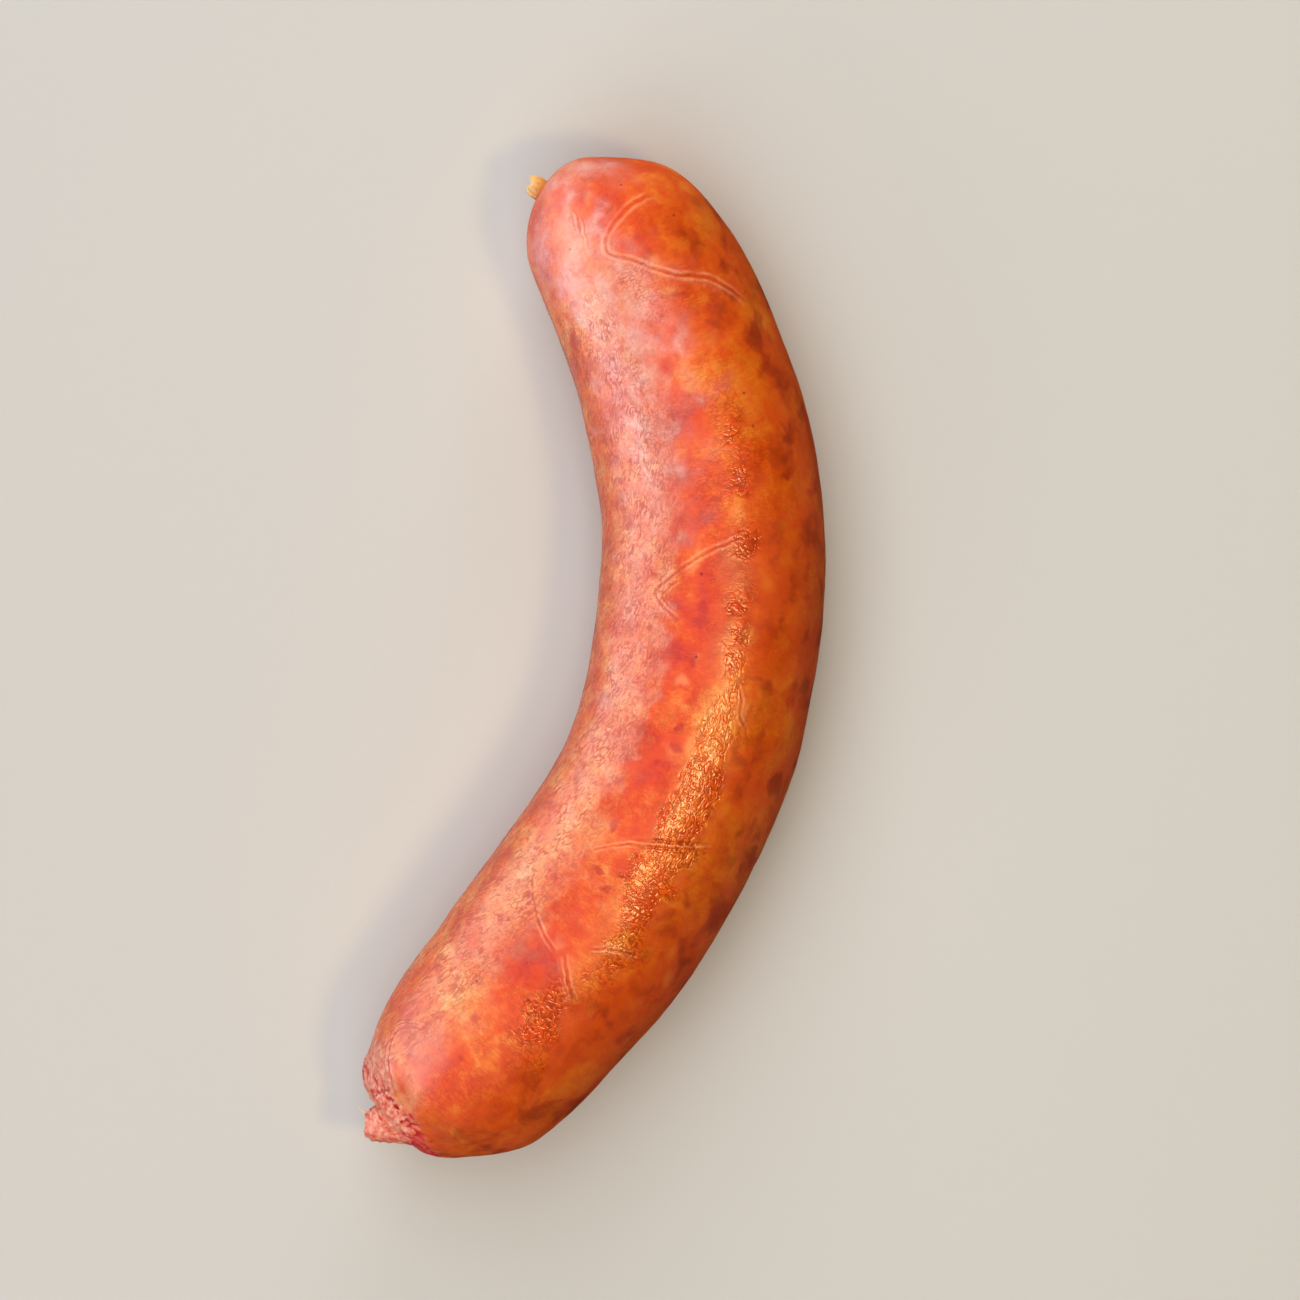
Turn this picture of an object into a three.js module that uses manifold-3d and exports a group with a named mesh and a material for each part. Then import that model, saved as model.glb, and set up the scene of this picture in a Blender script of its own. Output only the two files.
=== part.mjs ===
// A dry-cured sausage: one plump bent link of coarse meat in a natural casing, lying on its side.
// Millimetres, +Z up. +X runs along the chord from the cut tail to the dried nub, +Y points into
// the hollow of the bend, and Z = 0 is the surface that the link rests on.
import * as THREE from 'three';
import { mergeVertices } from 'three/addons/utils/BufferGeometryUtils.js';
import Module from 'manifold-3d';

const wasm = await Module();
wasm.setup();

// ---------------------------------------------------------------- driving dimensions

// The middle line, measured along the bend from the tail's neck to the nub's neck.
const LENGTH = 189.3;
// How sharply it bends, 1/mm, at evenly spaced places from the tail to the nub.
const BENDS = [0.0012, 0.0075, 0.0099, 0.0112, 0.0195];
// Half the width of the link at evenly spaced places from the tail to the nub.
const HALF_WIDTHS = [19.0, 20.0, 19.3, 18.9, 17.7];
// The rounded ends: how far each reaches, how full it is, and the neck it closes down to.
const TAIL_END = { reach: 27.1, fullness: 1.75, neck: 4.6 };
const NUB_END = { reach: 18.9, fullness: 1.92, neck: 1.7 };

// A soft link sags under its own weight: it is lower than it is wide, and flat underneath.
const HEIGHT_TO_WIDTH = 0.93;
const PRESSED_FLAT = 1.1;

// Swells and hollows of the filling. side 1 is the hollow of the bend, -1 its outside.
const SWELLS = [
  { side: 1, at: 1.5, length: 3.5, height: 1.5 },
  { side: 1, at: 24, length: 9, height: -0.75 },
  { side: 1, at: 46, length: 12, height: 0.18 },
  { side: 1, at: 76, length: 12, height: -0.83 },
  { side: 1, at: 110, length: 14, height: 0.45 },
  { side: 1, at: 138, length: 10, height: 0.16 },
  { side: 1, at: 160, length: 12, height: -0.88 },
  { side: 1, at: 176, length: 10, height: -2.49 },
  { side: -1, at: 14, length: 7, height: 1.48 },
  { side: -1, at: 34, length: 9, height: -0.34 },
  { side: -1, at: 84, length: 11, height: 0.49 },
  { side: -1, at: 149, length: 9, height: -0.62 },
  { side: -1, at: 184, length: 5, height: -1.65 },
];

// The casing is gathered into pleats that run from the tail's neck onto the rounded end.
const PLEATS = { count: 8, height: 0.3, reach: 6 };

// The tail: the gathered casing past the neck, cut off short and turned to the hollow side.
const TAIL = { length: 4.9, root: 3, rings: 14, turn: 38.6, droop: 6, flatness: 0.72 };
const TAIL_RADII = [3.6, 4.0, 3.7, 3.3, 3.15, 2.9, 2.0];
const TAIL_FOLDS = { spacing: 2.1, height: 0.16 };

// The nub: the twisted end of the casing, dried to a hard knob with lobes.
const NUB = { length: 2.65, root: 1.6, rings: 7, aside: 0.45, lobes: 4, lobeHeight: 0.2, dimple: 0.5 };
const NUB_RADII = [1.5, 1.7, 1.85, 1.95, 1.7, 1.1];

// How finely the faces follow the shape.
const AROUND = 48;
const END_RINGS = 14;
const MIDDLE_RINGS = 42;
const BEND_STEPS = 600;

// ---------------------------------------------------------------- helpers

// A smooth curve through values at evenly spaced places; u runs from 0 to 1.
function through(values, u) {
  const last = values.length - 1;
  const x = THREE.MathUtils.clamp(u, 0, 1) * last;
  const i = Math.min(Math.floor(x), last - 1);
  return THREE.MathUtils.lerp(values[i], values[i + 1], THREE.MathUtils.smoothstep(x, i, i + 1));
}

// The middle line in plan, turned so that its two ends lie along X.
function middleLine() {
  const step = LENGTH / BEND_STEPS;
  const places = [{ x: 0, y: 0, heading: 0 }];
  for (let i = 0; i < BEND_STEPS; i++) {
    const from = places[i];
    const heading = from.heading + through(BENDS, (i + 0.5) / BEND_STEPS) * step;
    const mean = (from.heading + heading) / 2;
    places.push({ x: from.x + Math.cos(mean) * step, y: from.y + Math.sin(mean) * step, heading });
  }
  const end = places[BEND_STEPS];
  const turn = -Math.atan2(end.y, end.x);
  return places.map((p) => ({
    x: p.x * Math.cos(turn) - p.y * Math.sin(turn),
    y: p.x * Math.sin(turn) + p.y * Math.cos(turn),
    heading: p.heading + turn,
  }));
}

const LINE = middleLine();

// The place and heading of the middle line at a distance along it.
function lineAt(along) {
  const x = THREE.MathUtils.clamp(along / LENGTH, 0, 1) * BEND_STEPS;
  const i = Math.min(Math.floor(x), BEND_STEPS - 1);
  const [a, b, f] = [LINE[i], LINE[i + 1], x - i];
  return {
    x: THREE.MathUtils.lerp(a.x, b.x, f),
    y: THREE.MathUtils.lerp(a.y, b.y, f),
    heading: THREE.MathUtils.lerp(a.heading, b.heading, f),
  };
}

function halfWidth(along) {
  return through(HALF_WIDTHS, along / LENGTH);
}

// The middle line lies at such a height that the underside is pressed flat by PRESSED_FLAT.
function middleHeight(along) {
  return halfWidth(along) * HEIGHT_TO_WIDTH - PRESSED_FLAT;
}

// A rounded end narrows the radius down to its neck; distance is measured from that neck.
function roundEnd(radius, end, distance) {
  const inward = THREE.MathUtils.clamp(1 - distance / end.reach, 0, 1);
  const round = Math.pow(1 - Math.pow(inward, end.fullness), 1 / end.fullness);
  return end.neck + (radius - end.neck) * round;
}

function bodyRadius(along) {
  return roundEnd(roundEnd(halfWidth(along), TAIL_END, along), NUB_END, LENGTH - along);
}

// How far the casing swells past its plain radius. around is 0 on the hollow side of the bend.
function swell(along, around) {
  let height = 0;
  for (const s of SWELLS) {
    const facing = ((1 + s.side * Math.cos(around)) / 2) ** 2;
    height += s.height * facing * Math.exp(-(((along - s.at) / s.length) ** 2));
  }
  const pleat = Math.cos(PLEATS.count * around) * Math.exp(-along / PLEATS.reach);
  return height + PLEATS.height * pleat;
}

// Moves every corner of a geometry by a function of the corner.
function reshape(geometry, move) {
  const position = geometry.attributes.position;
  const corner = new THREE.Vector3();
  for (let i = 0; i < position.count; i++) {
    move(corner.fromBufferAttribute(position, i));
    position.setXYZ(i, corner.x, corner.y, corner.z);
  }
  return geometry;
}

// A lathe with its axis on Y, closed at both ends on the axis. rings are [along, radius] pairs.
function turned(rings, segments) {
  const profile = rings.map(([along, radius]) => new THREE.Vector2(radius, along));
  profile.unshift(new THREE.Vector2(0, rings[0][0]));
  profile.push(new THREE.Vector2(0, rings[rings.length - 1][0]));
  return new THREE.LatheGeometry(profile, segments);
}

// A closed geometry as a solid, for joining and cutting.
function solid(geometry) {
  geometry.deleteAttribute('normal');
  geometry.deleteAttribute('uv');
  const merged = mergeVertices(geometry);
  return new wasm.Manifold(new wasm.Mesh({
    numProp: 3,
    vertProperties: Float32Array.from(merged.attributes.position.array),
    triVerts: Uint32Array.from(merged.index.array),
  }));
}

function geometryOf(joined) {
  const mesh = joined.getMesh();
  const geometry = new THREE.BufferGeometry();
  geometry.setAttribute('position', new THREE.BufferAttribute(mesh.vertProperties, 3));
  geometry.setIndex(new THREE.BufferAttribute(mesh.triVerts, 1));
  geometry.computeVertexNormals();
  return geometry;
}

// ---------------------------------------------------------------- the stuffed body

// Ring places: close together round the ends, where the outline curves, and even between them.
function ringPlaces() {
  const places = [];
  for (let i = 0; i < END_RINGS; i++) {
    places.push(TAIL_END.reach * (1 - Math.cos((i / END_RINGS) * (Math.PI / 2))));
  }
  const middle = LENGTH - TAIL_END.reach - NUB_END.reach;
  for (let i = 0; i <= MIDDLE_RINGS; i++) {
    places.push(TAIL_END.reach + (middle * i) / MIDDLE_RINGS);
  }
  for (let i = END_RINGS - 1; i >= 0; i--) {
    places.push(LENGTH - NUB_END.reach * (1 - Math.cos((i / END_RINGS) * (Math.PI / 2))));
  }
  return places;
}

function stuffedBody() {
  const straight = turned(ringPlaces().map((along) => [along, bodyRadius(along)]), AROUND);
  return reshape(straight, (corner) => {
    const along = corner.y;
    const around = Math.atan2(-corner.z, corner.x);
    const plain = Math.hypot(corner.x, corner.z);
    const radius = plain > 0 ? plain + swell(along, around) : 0;
    const line = lineAt(along);
    const aside = radius * Math.cos(around);
    corner.set(
      line.x - Math.sin(line.heading) * aside,
      line.y + Math.cos(line.heading) * aside,
      middleHeight(along) + radius * Math.sin(around) * HEIGHT_TO_WIDTH,
    );
  });
}

// ---------------------------------------------------------------- tail and nub

// Evenly spaced rings from the root inside the body to the tip.
function stubRings(radii, root, length, count) {
  const rings = [];
  for (let i = 0; i <= count; i++) {
    rings.push([-root + ((root + length) * i) / count, through(radii, i / count)]);
  }
  return rings;
}

// Stands a stub that was turned about Y on the body: Y becomes the way out of the body.
function placeStub(geometry, along, turn, droop) {
  const line = lineAt(along);
  const out = new THREE.Matrix4().makeRotationZ(line.heading + turn - Math.PI / 2);
  const down = new THREE.Matrix4().makeRotationX(-THREE.MathUtils.degToRad(droop));
  const place = new THREE.Matrix4().makeTranslation(line.x, line.y, middleHeight(along));
  return geometry.applyMatrix4(place.multiply(out).multiply(down));
}

function cutTail() {
  const rings = stubRings(TAIL_RADII, TAIL.root, TAIL.length, TAIL.rings);
  const tail = reshape(turned(rings, AROUND / 2), (corner) => {
    const out = THREE.MathUtils.clamp(corner.y / TAIL.length, 0, 1);
    const radius = Math.hypot(corner.x, corner.z);
    const wave = Math.sin((2 * Math.PI * corner.y) / TAIL_FOLDS.spacing);
    const fold = radius > 0 ? 1 + (TAIL_FOLDS.height * out * wave) / radius : 0;
    corner.x *= fold;
    corner.z *= fold * THREE.MathUtils.lerp(1, TAIL.flatness, out);
  });
  return placeStub(tail, 0, Math.PI - THREE.MathUtils.degToRad(TAIL.turn), TAIL.droop);
}

function driedNub() {
  const rings = stubRings(NUB_RADII, NUB.root, NUB.length, NUB.rings);
  const nub = reshape(turned(rings, AROUND / 3), (corner) => {
    const out = THREE.MathUtils.clamp(corner.y / NUB.length, 0, 1);
    const around = Math.atan2(corner.z, corner.x);
    const radius = Math.hypot(corner.x, corner.z);
    const lobe = 1 + NUB.lobeHeight * out * Math.cos(NUB.lobes * around);
    corner.x = corner.x * lobe - NUB.aside;
    corner.z *= lobe;
    corner.y -= radius === 0 ? NUB.dimple * out : 0;
  });
  return placeStub(nub, LENGTH, 0, 0);
}

// ---------------------------------------------------------------- the whole link

// A block under the resting surface: cutting it away leaves the flat that the link lies on.
function underTheSurface() {
  const size = LENGTH * 2;
  return new THREE.BoxGeometry(size, size, size).translate(0, 0, -size / 2);
}

function sausageGeometry() {
  const whole = solid(stuffedBody()).add(solid(cutTail())).add(solid(driedNub()));
  const geometry = geometryOf(whole.subtract(solid(underTheSurface())));
  geometry.computeBoundingBox();
  const box = geometry.boundingBox;
  return geometry.translate(-(box.min.x + box.max.x) / 2, -(box.min.y + box.max.y) / 2, -box.min.z);
}

const casing = new THREE.MeshStandardMaterial({ color: 0xdd7650, roughness: 0.42, metalness: 0 });
const sausage = new THREE.Mesh(sausageGeometry(), casing);
sausage.name = 'sausage';

const group = new THREE.Group();
group.add(sausage);

export default group;
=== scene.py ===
# %% [markdown]
# # A dry-cured sausage
# One plump, bent link of coarse meat in a natural casing lies on its side. The real thing is made
# by pushing ground meat into a wet gut, twisting or tying the ends, and letting it hang, so the
# skin shrinks on the meat: it is taut and glossy, with fine wrinkles, a few thin folds, a gathered
# tail and a dried nub. The imported solid is loaded first, because it fixes the size and the place of
# everything else. Its box places the skin, and is printed at the end.

# %% Load the imported solid
import math

import bmesh
import bpy
import numpy as np
from mathutils import Matrix, Vector, noise


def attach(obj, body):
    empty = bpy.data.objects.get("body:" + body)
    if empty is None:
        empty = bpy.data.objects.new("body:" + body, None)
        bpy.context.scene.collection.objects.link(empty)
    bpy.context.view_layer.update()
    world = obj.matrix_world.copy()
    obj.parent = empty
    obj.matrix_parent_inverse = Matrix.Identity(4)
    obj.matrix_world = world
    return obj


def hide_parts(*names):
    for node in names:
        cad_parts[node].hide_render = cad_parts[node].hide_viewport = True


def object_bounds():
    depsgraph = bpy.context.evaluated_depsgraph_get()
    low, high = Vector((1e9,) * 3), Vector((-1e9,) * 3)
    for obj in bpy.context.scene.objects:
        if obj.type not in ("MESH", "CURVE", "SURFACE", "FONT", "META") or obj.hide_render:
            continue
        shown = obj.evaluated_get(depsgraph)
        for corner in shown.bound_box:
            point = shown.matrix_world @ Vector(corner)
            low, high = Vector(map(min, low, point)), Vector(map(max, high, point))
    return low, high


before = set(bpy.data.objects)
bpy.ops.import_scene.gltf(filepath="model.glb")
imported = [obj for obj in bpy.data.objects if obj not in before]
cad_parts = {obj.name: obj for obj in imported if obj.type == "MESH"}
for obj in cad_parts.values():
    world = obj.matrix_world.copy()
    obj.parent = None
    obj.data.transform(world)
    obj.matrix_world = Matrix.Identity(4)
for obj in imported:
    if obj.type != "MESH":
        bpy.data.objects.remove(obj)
solid_low, solid_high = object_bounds()
print("solid:", [round(v * 1000, 1) for v in solid_high - solid_low], "mm")

# %% [markdown]
# ## The link's own measures
# A bent body is easiest to describe straight: a middle line with a radius at each place, and a
# list of how sharply that line bends. These are the solid's own measures, in metres, so the fine
# skin lies where the solid's skin lies. Distances along run from 0 at the tail's neck to LENGTH at
# the nub's neck; on the tail they are negative.
# `through` blends smoothly between values at evenly spaced places.

# %% Measures of the link
MM = 0.001
LENGTH = 189.3 * MM
BENDS = [1.2, 7.5, 9.9, 11.2, 19.5]  # 1/m, from the tail to the nub
HALF_WIDTHS = np.array([19, 20, 19.3, 18.9, 17.7]) * MM
TAIL_END = (27.1 * MM, 1.75, 4.6 * MM)  # reach, fullness and neck of the rounded end
NUB_END = (18.9 * MM, 1.92, 1.7 * MM)
HEIGHT_TO_WIDTH = 0.93
PRESSED_FLAT = 1.1 * MM


def unit(values):
    """Keeps values from 0 to 1."""
    return np.clip(values, 0, 1)


def hump(distance):
    """1 at no distance, fading away past a distance of 1."""
    return np.exp(-(distance**2))


def through(values, u):
    last = len(values) - 1
    x = unit(u) * last
    i = np.minimum(x.astype(int), last - 1)
    f = x - i
    f = f * f * (3 - 2 * f)
    values = np.asarray(values)
    return values[i] * (1 - f) + values[i + 1] * f


def half_width(along):
    return through(HALF_WIDTHS, along / LENGTH)


def middle_height(along):
    return half_width(along) * HEIGHT_TO_WIDTH - PRESSED_FLAT


def round_end(radius, end, distance):
    reach, fullness, neck = end
    inward = unit(1 - distance / reach)
    return neck + (radius - neck) * (1 - inward**fullness) ** (1 / fullness)


def body_radius(along):
    from_tail = round_end(half_width(along), TAIL_END, along)
    return round_end(from_tail, NUB_END, LENGTH - along)


print("widest:", round(2000 * body_radius(np.linspace(0, LENGTH, 200)).max(), 1), "mm")

# %% [markdown]
# ## The middle line and the turned tail
# The line is walked in small steps, turning a little at each. Then it is turned so that its two
# ends lie along X, as in the solid. `bend` carries any straight place, given as distance along,
# offset to the hollow side and height, onto the bent line.
# The tail leaves the neck at an angle. Its rings turn into the new direction a little at a time,
# so that the gathered skin runs on into the tail without a seam.

# %% The bent middle line and the tail
STEPS = 600
TAIL_LENGTH = 4.9 * MM
TAIL_TURN = math.radians(38.6)  # towards the hollow of the bend
TAIL_DROOP = math.radians(6)
TAIL_FLATNESS = 0.72
TAIL_RADII = np.array([3.6, 4, 3.7, 3.3, 3.15, 2.9, 2]) * MM
TAIL_ROOT = 3 * MM  # how deep inside the body the first radius lies
TAIL_TURNED = 4.2 * MM  # where the rings have turned all the way


def middle_line():
    step = LENGTH / STEPS
    turns = through(BENDS, (np.arange(STEPS) + 0.5) / STEPS) * step
    heading = np.concatenate([[0], np.cumsum(turns)])
    mean = (heading[1:] + heading[:-1]) / 2
    x = np.concatenate([[0], np.cumsum(np.cos(mean) * step)])
    y = np.concatenate([[0], np.cumsum(np.sin(mean) * step)])
    turn = -math.atan2(y[-1], x[-1])
    cos, sin = math.cos(turn), math.sin(turn)
    return x * cos - y * sin, x * sin + y * cos, heading + turn


LINE_X, LINE_Y, LINE_HEADING = middle_line()


def line_at(along):
    places = unit(np.asarray(along) / LENGTH) * STEPS
    index = np.arange(STEPS + 1)
    return tuple(np.interp(places, index, values) for values in (LINE_X, LINE_Y, LINE_HEADING))


def ring_turn(out):
    return TAIL_TURN * unit(out / TAIL_TURNED)


def tail_radius(out):
    across = through(TAIL_RADII, (out + TAIL_ROOT) / (TAIL_LENGTH + TAIL_ROOT))
    return across / np.cos(TAIL_TURN - ring_turn(out))


def bend(straight):
    along, aside, up = straight.T
    out = np.maximum(-along, 0)
    x, y, heading = line_at(along)
    direction = heading - TAIL_TURN
    heading = heading - ring_turn(out)
    flatter = HEIGHT_TO_WIDTH + (TAIL_FLATNESS - HEIGHT_TO_WIDTH) * out / TAIL_LENGTH
    return np.column_stack([
        x - out * np.cos(direction) - np.sin(heading) * aside,
        y - out * np.sin(direction) + np.cos(heading) * aside,
        middle_height(along) - out * math.sin(TAIL_DROOP) + up * flatter,
    ])


print("turns through", round(math.degrees(LINE_HEADING[-1] - LINE_HEADING[0]), 1), "degrees")

# %% [markdown]
# ## A straight tube of skin
# The skin starts as a spun tube. One edge is cut into many, its corners are laid on the outline,
# closer together at the tail, and the outline is spun once round X. A full spin merges its last
# copy with its first, and the doubles at the two poles are merged afterwards, so the skin is
# closed. The outline starts inside the tail's cut end, which is a shallow hollow with a rim.

# %% Spin the straight skin
RINGS = 430
AROUND = 180
TAIL_FINER = 2.4  # times closer rings at the tail
CUT_HOLLOW = np.array([(3.9, 0), (4, 1), (4.55, 1.62)]) * MM  # out, radius


def outline(count):
    hollow_out, hollow_radius = CUT_HOLLOW.T
    out = np.linspace(TAIL_LENGTH, 0, 200)
    inner = (1 - np.cos(np.linspace(0, math.pi, 4000))) / 2 * LENGTH
    along = np.concatenate([-hollow_out, -out, inner[1:], [LENGTH]])
    radius = np.concatenate([hollow_radius, tail_radius(out), body_radius(inner[1:]), [0]])
    finer = 1 + (TAIL_FINER - 1) / (1 + np.exp((along - 6 * MM) / (1.5 * MM)))
    steps = np.hypot(np.diff(along), np.diff(radius)) * (finer[1:] + finer[:-1]) / 2
    walked = np.concatenate([[0], np.cumsum(steps)])
    even = np.linspace(0, walked[-1], count)
    return np.interp(even, walked, along), np.interp(even, walked, radius)


def spun(along, radius, around):
    bm = bmesh.new()
    first = bmesh.ops.create_vert(bm, co=(0, 0, 0))["vert"][0]
    last = bmesh.ops.create_vert(bm, co=(1, 0, 0))["vert"][0]
    edge = bm.edges.new((first, last))
    bmesh.ops.subdivide_edges(bm, edges=[edge], cuts=len(along) - 2)
    for vert, a, r in zip(sorted(bm.verts, key=lambda v: v.co.x), along, radius):
        vert.co = (a, 0, r)
    bmesh.ops.spin(
        bm, geom=bm.verts[:] + bm.edges[:], cent=(0, 0, 0), axis=(1, 0, 0),
        angle=math.tau, steps=around, use_merge=True,
    )
    bmesh.ops.remove_doubles(bm, verts=bm.verts[:], dist=0.001 * MM)
    bmesh.ops.recalc_face_normals(bm, faces=bm.faces[:])
    return bm


skin = spun(*outline(RINGS), AROUND)
print("straight skin:", len(skin.verts), "corners")

# %% [markdown]
# ## Thin folds of the casing
# A gut doesn't shrink evenly: where it slips it doubles up into thin raised folds, often as a pair
# of ridges with a groove between them. Each is laid as a few places on the skin: the
# distance along in millimetres, and the angle in degrees from the top towards the outside of the
# bend. A smooth curve runs through them. Those with angles past 60 lie on the far sides. A height
# below zero sinks the two ridges, which makes a pair of cracks.
# The skin is cut finer near the folds only, because they are narrower than its faces.

# %% Lay the folds and cut the skin finer there
FOLDS = [  # height and gap between the two ridges in mm, places
    (0.23, 1.15, [
        (174.6, 42), (175.5, 30), (175.8, 20), (175.3, 7), (174.2, -1.5), (172.6, -5),
        (170.9, -3.5), (169, 2), (166, 9), (162.8, 19), (160.2, 34), (157.8, 42), (154.6, 51),
    ]),
    (-0.1, 0.9, [(182.3, -3.5), (181.2, -4.4), (180.4, -7.5), (178.6, -11)]),
    (-0.1, 0.8, [(180.6, -3.4), (179.2, -5), (177.9, -9.4), (176.9, -10.4), (175.2, -14.4)]),
    (0.16, 1, [
        (119.2, 15), (118.6, 8.5), (116.9, -3), (113.6, -17.5), (110.1, -28.5), (108.7, -30.5),
        (107.1, -26.5), (105.4, -20.5), (103.3, -14),
    ]),
    (0.12, 0.8, [(112.4, -14.5), (110.6, -22), (108.8, -26.5), (107.4, -24), (106, -19.5)]),
    (0.14, 0.8, [(95.1, 20), (92.7, 23), (90.8, 23.5), (88.9, 29)]),
    (0.12, 0.8, [(59.8, -20), (62.3, -12), (64.2, -5), (65.2, 1)]),
    (-0.18, 1.1, [(64.6, -6), (65.6, 2), (67.7, 17), (68.8, 26), (70, 35)]),
    (0.18, 0.9, [(52.4, -44), (46.3, -27.5), (43.3, -15.5), (41.9, -5)]),
    (0.3, 1, [(42.4, -1), (40.5, 6), (39, 11), (37.3, 18.5)]),
    (0.14, 0.8, [(45.8, 7.5), (47.8, 16.5), (49.7, 30.5)]),
    (0.3, 1, [(16.5, -30.5), (12.8, -46.5), (9.2, -46), (6.6, -39), (4.4, -24), (4.2, -10)]),
    (-0.1, 0.7, [(17.4, -29.5), (13.7, -48.5), (9.6, -49.5), (6.6, -44)]),
    (0.18, 1, [(146, -84), (139, -97), (131, -92), (124, -106), (119, -118)]),
    (0.16, 0.9, [(88, 96), (80, 84), (71, 92), (66, 107)]),
    (0.18, 1, [(158, 118), (150, 104), (143, 110), (137, 97), (130, 101)]),
    (0.16, 0.9, [(58, -100), (50, -86), (44, -93), (36, -80)]),
    (0.2, 1, [(30, 128), (24, 110), (16, 116), (11, 98)]),
]
FOLD_REACH = 1.45 * MM
FOLD_CUTS = 2
FOLD_MARGIN = (3, 12)  # mm along and degrees round a fold that are looked at


def smooth_curve(places, per_span=10):
    points = np.array(places, dtype=float)
    padded = np.vstack([2 * points[0] - points[1], points, 2 * points[-1] - points[-2]])
    t = (np.arange(per_span) / per_span)[:, None]
    spans = []
    for a, b, c, d in zip(padded, padded[1:], padded[2:], padded[3:]):
        spans.append(0.5 * (2 * b + (c - a) * t + (2 * a - 5 * b + 4 * c - d) * t**2
                            + (3 * b - a - 3 * c + d) * t**3))
    return np.vstack([*spans, points[-1:]])


def angle_of(straight):
    """Degrees from the top of the link towards the outside of its bend."""
    return np.degrees(np.arctan2(-straight[:, 1], straight[:, 2]))


def radius_of(straight):
    return np.hypot(straight[:, 1], straight[:, 2])


def near_fold(straight, curve):
    """Each corner's signed distance to a fold, and how far along the fold it is."""
    radius = radius_of(straight)
    angle = angle_of(straight)
    distance = np.ones(len(straight))
    share = np.zeros(len(straight))
    low, high = curve.min(0) - FOLD_MARGIN, curve.max(0) + FOLD_MARGIN
    place = np.column_stack([straight[:, 0] / MM, angle])
    close = np.flatnonzero(((place > low) & (place < high)).all(1))
    degree = np.radians(1) * radius[close] / MM
    on_skin = np.column_stack([np.ones(len(close)), degree])
    for k, (p, q) in enumerate(zip(curve, curve[1:])):
        from_p = (place[close] - p) * on_skin
        span = (q - p) * on_skin
        t = unit((from_p * span).sum(1) / (span**2).sum(1))
        d = np.hypot(*(from_p - span * t[:, None]).T) * MM
        left = span[:, 0] * from_p[:, 1] < span[:, 1] * from_p[:, 0]
        nearer = d < np.abs(distance[close])
        distance[close[nearer]] = np.where(left, -d, d)[nearer]
        share[close[nearer]] = ((k + t) / (len(curve) - 1))[nearer]
    return distance, share


FOLD_CURVES = [(height * MM, gap * MM, smooth_curve(places)) for height, gap, places in FOLDS]


def corners_of(bm):
    return np.array([v.co[:] for v in bm.verts])


straight = corners_of(skin)
by_fold = np.zeros(len(straight), dtype=bool)
for _, _, curve in FOLD_CURVES:
    by_fold |= np.abs(near_fold(straight, curve)[0]) < FOLD_REACH
skin.verts.index_update()
edges = [e for e in skin.edges if by_fold[e.verts[0].index] and by_fold[e.verts[1].index]]
bmesh.ops.subdivide_edges(skin, edges=edges, cuts=FOLD_CUTS, use_grid_fill=True)
print("after cutting near the folds:", len(skin.verts), "corners")

# %% [markdown]
# ## The skin's relief
# The height of the skin over the plain tube is the sum of what a maker would name: swells of the
# filling, as in the solid; lumps of meat; a fine crumple of the dried gut; the gathers and pits
# round the tail; and the folds. The crumple is a sum of waves, which gives the worm-like ridges of
# shrunken skin. Everything is added along the radius while the skin is still straight.

# %% Swells, lumps and crumple
SWELLS = [  # side (1 is the hollow of the bend), place along, length, height, all in mm
    (1, 1.5, 3.5, 1.5), (1, 24, 9, -0.75), (1, 46, 12, 0.18), (1, 76, 12, -0.83),
    (1, 110, 14, 0.45), (1, 138, 10, 0.16), (1, 160, 12, -0.88), (1, 176, 10, -2.49),
    (-1, 14, 7, 1.48), (-1, 34, 9, -0.34), (-1, 84, 11, 0.49), (-1, 149, 9, -0.62),
    (-1, 184, 5, -1.65),
]
PLEATS = (8, 0.3, 6)  # count, height and reach of the pleats at the tail, as in the solid
NECK_FILLET = 1.1 * MM  # how far the body's swells run out onto the tail


def swells(straight):
    along = straight[:, 0] / MM
    around = np.arctan2(straight[:, 2], straight[:, 1])
    height = np.zeros(len(along))
    for side, at, length, rise in SWELLS:
        facing = ((1 + side * np.cos(around)) / 2) ** 2
        height += rise * facing * hump((along - at) / length)
    count, rise, reach = PLEATS
    height += rise * np.cos(count * around) * np.exp(-np.abs(along) / reach)
    out = np.maximum(-straight[:, 0], 0)
    return height * MM * hump(out / NECK_FILLET)


def grain(points, size, seed, octaves=1):
    """Smooth noise from -1 to 1 with lumps of about this size."""
    shift = Vector((seed * 17.3, seed * 5.1, seed * 9.7))
    return np.array([noise.fractal(Vector(p) / size + shift, 1.0, 2.0, octaves) for p in points])


def crumple(points, wavelength, seed, count=16):
    """Waves of one length in many directions, about -1 to 1."""
    chance = np.random.default_rng(seed)
    directions = chance.normal(size=(count, 3))
    directions /= np.linalg.norm(directions, axis=1)[:, None]
    phases = chance.uniform(0, math.tau, count)
    turns = points @ directions.T * (math.tau / wavelength)
    return np.cos(turns + phases).sum(1) / math.sqrt(count)


LUMP, LUMP_HEIGHT = 14 * MM, 0.22 * MM
CHUNK, CHUNK_HEIGHT = 4.5 * MM, 0.07 * MM
CRUMPLE, CRUMPLE_HEIGHT = 1.7 * MM, 0.018 * MM

straight = corners_of(skin)
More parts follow.
